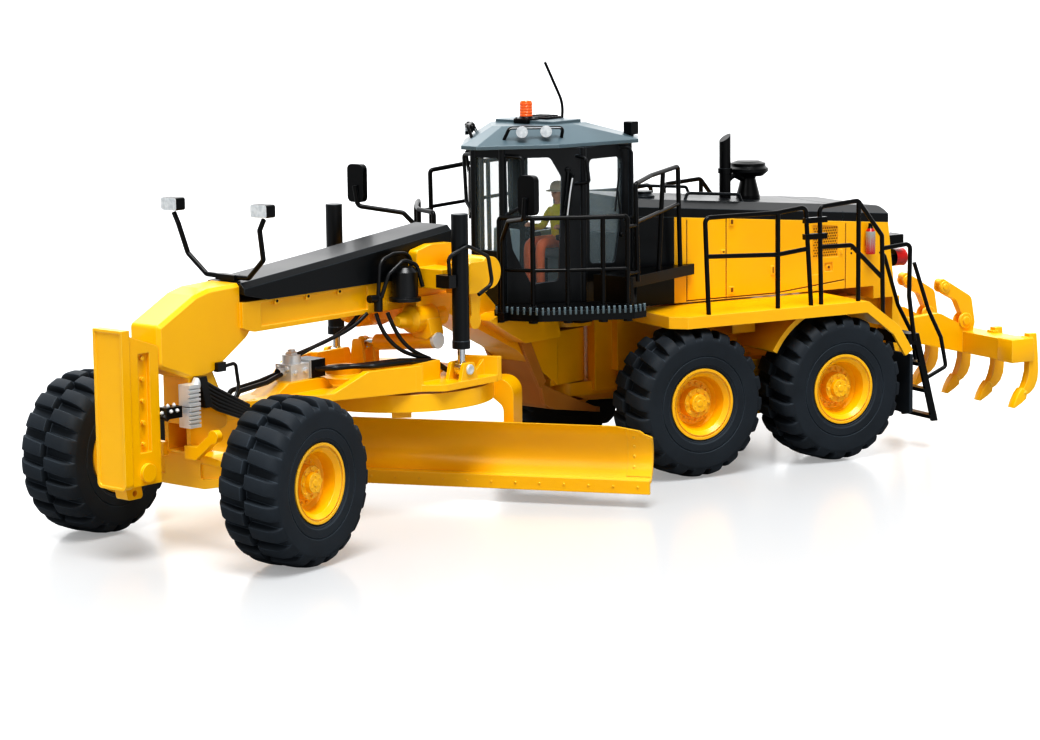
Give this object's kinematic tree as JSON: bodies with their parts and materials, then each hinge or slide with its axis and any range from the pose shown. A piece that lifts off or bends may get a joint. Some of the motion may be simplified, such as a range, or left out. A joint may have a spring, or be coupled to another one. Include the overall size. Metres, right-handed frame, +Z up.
{
  "type": "motor grader scale model",
  "caption": "Scale model of an articulated six-wheel motor grader with a turning blade under its gooseneck, cab over the hitch, tandem rear wheels and a rear ripper.",
  "frame": {"origin": "on the ground under the middle of the tandem axles, on the rear frame's centre line", "axes": "+X forward along the rear frame, +Y to its left, +Z up"},
  "size_m": [0.2469, 0.1109, 0.0895],
  "materials": {
    "yellow_enamel": "gloss enamel",
    "black_enamel": "satin enamel",
    "black_plastic": "moulded",
    "grey_plastic": "moulded",
    "tyre_rubber": "moulded",
    "clear": "clear",
    "lamp": "silvered",
    "amber": "clear amber",
    "chrome_rod": "plated",
    "figure": "painted",
    "tan_enamel": "satin enamel",
    "red_plastic": "moulded"
  },
  "bodies": {
    "rear_frame": {"tandem_case_left": "yellow_enamel", "tandem_case_right": "yellow_enamel", "rear_frame": "yellow_enamel", "hood_panels": "yellow_enamel", "hood_front_box": "black_enamel", "hood_cap": "black_enamel", "exhaust_stack": "black_plastic", "precleaner": "black_plastic", "fenders": "yellow_enamel", "fender_rails": "black_plastic", "rear_ladders": "black_plastic", "mudflaps": "black_plastic", "tail_lamps": "red_plastic"},
    "front_frame": {"front_frame": "yellow_enamel", "beam_cover": "black_enamel", "push_plate": "yellow_enamel", "lamp_bar": "black_plastic", "front_lamps": "lamp", "belly_guard": "tan_enamel", "cab_shell": "black_enamel", "cab_glass": "clear", "cab_roof": "grey_plastic", "cab_seat": "grey_plastic", "operator": "figure", "beacon": "amber", "antenna": "black_plastic", "platforms": "black_plastic", "platform_rails": "black_plastic", "mirrors": "black_plastic", "hydraulic_lines": "black_plastic", "silver_fittings": "chrome_rod", "roof_lamps": "black_plastic", "front_axle": "yellow_enamel"},
    "wheel_middle_left": {"rim_middle_left": "yellow_enamel", "tyre_middle_left": "tyre_rubber"},
    "wheel_middle_right": {"rim_middle_right": "yellow_enamel", "tyre_middle_right": "tyre_rubber"},
    "wheel_rear_left": {"rim_rear_left": "yellow_enamel", "tyre_rear_left": "tyre_rubber"},
    "wheel_rear_right": {"rim_rear_right": "yellow_enamel", "tyre_rear_right": "tyre_rubber"},
    "wheel_front_left": {"rim_front_left": "yellow_enamel", "tyre_front_left": "tyre_rubber"},
    "wheel_front_right": {"rim_front_right": "yellow_enamel", "tyre_front_right": "tyre_rubber"},
    "lean_left": {"lean_yoke_left": "yellow_enamel"},
    "knuckle_left": {"knuckle_left": "yellow_enamel"},
    "lean_right": {"lean_yoke_right": "yellow_enamel"},
    "knuckle_right": {"knuckle_right": "yellow_enamel"},
    "drawbar": {"drawbar": "yellow_enamel", "drawbar_lines": "black_plastic"},
    "circle": {"circle": "yellow_enamel"},
    "blade": {"blade": "yellow_enamel", "cutting_edge": "yellow_enamel"},
    "lift_barrel_left": {"lift_barrel_left": "black_enamel"},
    "lift_rod_left": {"lift_rod_left": "chrome_rod"},
    "lift_barrel_right": {"lift_barrel_right": "black_enamel"},
    "lift_rod_right": {"lift_rod_right": "chrome_rod"},
    "ripper": {"ripper_beam": "yellow_enamel", "ripper_shanks": "yellow_enamel"}
  },
  "joints": [
    {"name": "articulation", "type": "hinge", "parent": "rear_frame", "child": "front_frame", "pos_m": [0.034, 0, 0.025], "axis": [0, 0, 1], "range_deg": [-40, 0]},
    {"name": "spin_middle_left", "type": "hinge", "parent": "rear_frame", "child": "wheel_middle_left", "pos_m": [0.0186, 0.0272, 0.0163], "axis": [0, 1, 0], "continuous": true},
    {"name": "spin_middle_right", "type": "hinge", "parent": "rear_frame", "child": "wheel_middle_right", "pos_m": [0.0186, -0.0272, 0.0163], "axis": [0, 1, 0], "continuous": true},
    {"name": "spin_rear_left", "type": "hinge", "parent": "rear_frame", "child": "wheel_rear_left", "pos_m": [-0.0186, 0.0272, 0.0163], "axis": [0, 1, 0], "continuous": true},
    {"name": "spin_rear_right", "type": "hinge", "parent": "rear_frame", "child": "wheel_rear_right", "pos_m": [-0.0186, -0.0272, 0.0163], "axis": [0, 1, 0], "continuous": true},
    {"name": "lean_left", "type": "hinge", "parent": "front_frame", "child": "lean_left", "pos_m": [0.13499, 0.05379, 0.0163], "axis": [0.9397, 0.342, 0], "range_deg": [-18, 18]},
    {"name": "lean_right", "type": "hinge", "parent": "front_frame", "child": "lean_right", "pos_m": [0.14594, 0.02372, 0.0163], "axis": [0.9397, 0.342, 0], "range_deg": [-18, 18]},
    {"name": "steer_left", "type": "hinge", "parent": "lean_left", "child": "knuckle_left", "pos_m": [0.13342, 0.05811, 0.0163], "axis": [0, 0, 1], "range_deg": [-52.7, 37.3]},
    {"name": "steer_right", "type": "hinge", "parent": "lean_right", "child": "knuckle_right", "pos_m": [0.14751, 0.01939, 0.0163], "axis": [0, 0, 1], "range_deg": [-52.7, 37.3]},
    {"name": "spin_front_left", "type": "hinge", "parent": "knuckle_left", "child": "wheel_front_left", "pos_m": [0.13035, 0.06395, 0.0163], "axis": [-0.4648, 0.8854, 0], "continuous": true},
    {"name": "spin_front_right", "type": "hinge", "parent": "knuckle_right", "child": "wheel_front_right", "pos_m": [0.15058, 0.01355, 0.0163], "axis": [-0.4648, 0.8854, 0], "continuous": true},
    {"name": "blade_raise", "type": "hinge", "parent": "front_frame", "child": "drawbar", "pos_m": [0.13643, 0.03728, 0.0255], "axis": [-0.342, 0.9397, 0], "range_deg": [-2, 2.6]},
    {"name": "circle_turn", "type": "hinge", "parent": "drawbar", "child": "circle", "pos_m": [0.08474, 0.01847, 0.0219], "axis": [0, 0, 1], "range_deg": [-60.2, 9.8]},
    {"name": "blade_shift", "type": "slide", "parent": "circle", "child": "blade", "axis": [-0.7096, 0.7046, 0], "range_m": [-0.0086, 0.0114]},
    {"name": "lift_swing_left", "type": "hinge", "parent": "front_frame", "child": "lift_barrel_left", "pos_m": [0.07866, 0.0352, 0.048], "axis": [-0.342, 0.9397, 0], "range_deg": [-0.97, 0.81]},
    {"name": "lift_stroke_left", "type": "slide", "parent": "lift_barrel_left", "child": "lift_rod_left", "axis": [0, 0, 1], "range_m": [-0.00202, 0.00259]},
    {"name": "lift_swing_right", "type": "hinge", "parent": "front_frame", "child": "lift_barrel_right", "pos_m": [0.09083, 0.00174, 0.048], "axis": [-0.342, 0.9397, 0], "range_deg": [-0.97, 0.81]},
    {"name": "lift_stroke_right", "type": "slide", "parent": "lift_barrel_right", "child": "lift_rod_right", "axis": [0, 0, 1], "range_m": [-0.00202, 0.00259]},
    {"name": "ripper_raise", "type": "hinge", "parent": "rear_frame", "child": "ripper", "pos_m": [-0.052, 0, 0.024], "axis": [0, 1, 0], "range_deg": [-12, 25]}
  ],
  "couplings": [
    {"joint": "lean_right", "follows": "lean_left", "ratio": 1},
    {"joint": "steer_right", "follows": "steer_left", "ratio": 1},
    {"joint": "lift_swing_left", "follows": "blade_raise", "ratio": -0.25709},
    {"joint": "lift_stroke_left", "follows": "blade_raise", "m_per_rad": 0.054944},
    {"joint": "lift_swing_right", "follows": "blade_raise", "ratio": -0.25709},
    {"joint": "lift_stroke_right", "follows": "blade_raise", "m_per_rad": 0.054944}
  ]
}
